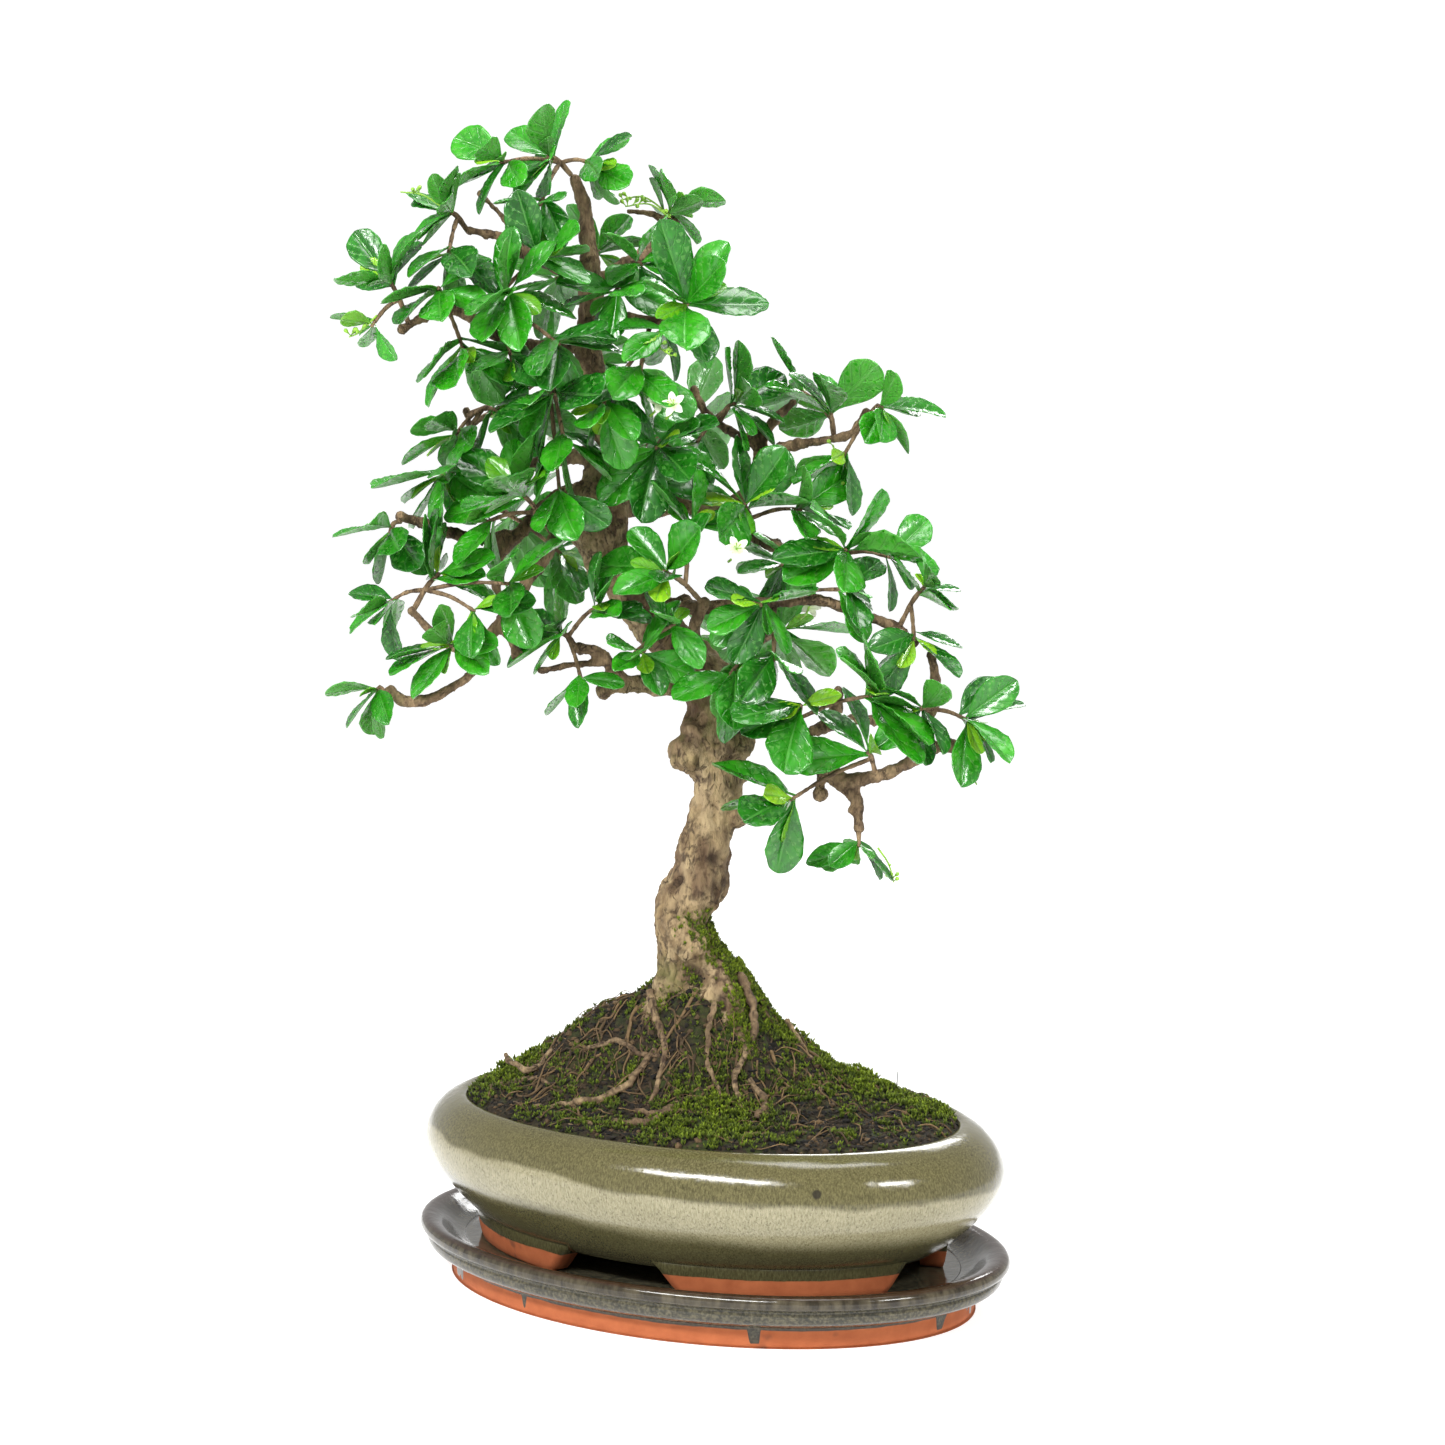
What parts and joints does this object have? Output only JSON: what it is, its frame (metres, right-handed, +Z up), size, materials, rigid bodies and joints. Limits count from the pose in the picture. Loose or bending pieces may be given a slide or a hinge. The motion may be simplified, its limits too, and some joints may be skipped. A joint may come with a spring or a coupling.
{
  "type": "bonsai tree in a pot",
  "caption": "Fukien tea bonsai with a bent, flaky trunk and glossy leaves, on a mossy mound in an oval olive-glazed pot on a drip saucer",
  "frame": {"origin": "the middle of the drip saucer's flat base", "axes": "+X along the oval pot's long side, -Y to the front, +Z up"},
  "size_m": [0.25, 0.2052, 0.4551],
  "materials": {
    "saucer_glaze": "glossy dark olive-brown glaze over an unglazed orange base band",
    "pot_glaze": "glossy streaked grey-olive glaze, unglazed terracotta feet",
    "screen_plastic": "black plastic mesh",
    "soil": "dark crumbly soil",
    "moss": "soft bright green moss",
    "bark": "flaky tan bark with dark scars",
    "leaves": "glossy green leaves"
  },
  "bodies": {
    "root": {"drip_saucer": "saucer_glaze", "pot": "pot_glaze", "drain_screen_left": "screen_plastic", "drain_screen_right": "screen_plastic", "soil": "soil", "trunk": "bark", "branch_low_right": "bark", "branch_low_left": "bark", "branch_left_droop": "bark", "branch_left_mid": "bark", "branch_left_upper": "bark", "branch_right_low": "bark", "branch_right_upper": "bark", "branch_crown_left": "bark", "branch_crown_upper_left": "bark", "branch_crown_right": "bark", "branch_crown_mid_right": "bark", "root_front_left": "bark", "root_front": "bark", "root_front_right": "bark", "moss_left": "moss", "moss_front": "moss", "moss_right": "moss", "moss_trunk": "moss", "spray_apex": "leaves", "spray_crown_left_tip": "leaves", "spray_crown_far_left": "leaves", "spray_crown_left_mid": "leaves", "spray_crown_front": "leaves", "spray_crown_right_mid": "leaves", "spray_crown_right_far": "leaves", "spray_mid_right": "leaves", "spray_mid_front": "leaves", "spray_left_shoulder": "leaves", "spray_left_far": "leaves", "spray_left_front": "leaves", "spray_left_low": "leaves", "spray_droop_mid": "leaves", "spray_droop_tip": "leaves", "spray_inner_right": "leaves", "spray_low_left": "leaves", "spray_low_centre": "leaves", "spray_centre_front": "leaves", "spray_right_up_left": "leaves", "spray_right_up_tip": "leaves", "spray_right_up_far": "leaves", "spray_right_front": "leaves", "spray_right_cross": "leaves", "spray_right_low": "leaves", "spray_right_low_tip": "leaves", "spray_low_right_front": "leaves", "spray_low_right_mid": "leaves", "spray_low_right_rise": "leaves", "spray_low_right_under": "leaves", "spray_low_right_end": "leaves", "spray_back_low": "leaves", "spray_back_left": "leaves", "spray_back_middle": "leaves", "spray_back_crown": "leaves", "spray_back_upper_left": "leaves"}
  },
  "joints": []
}
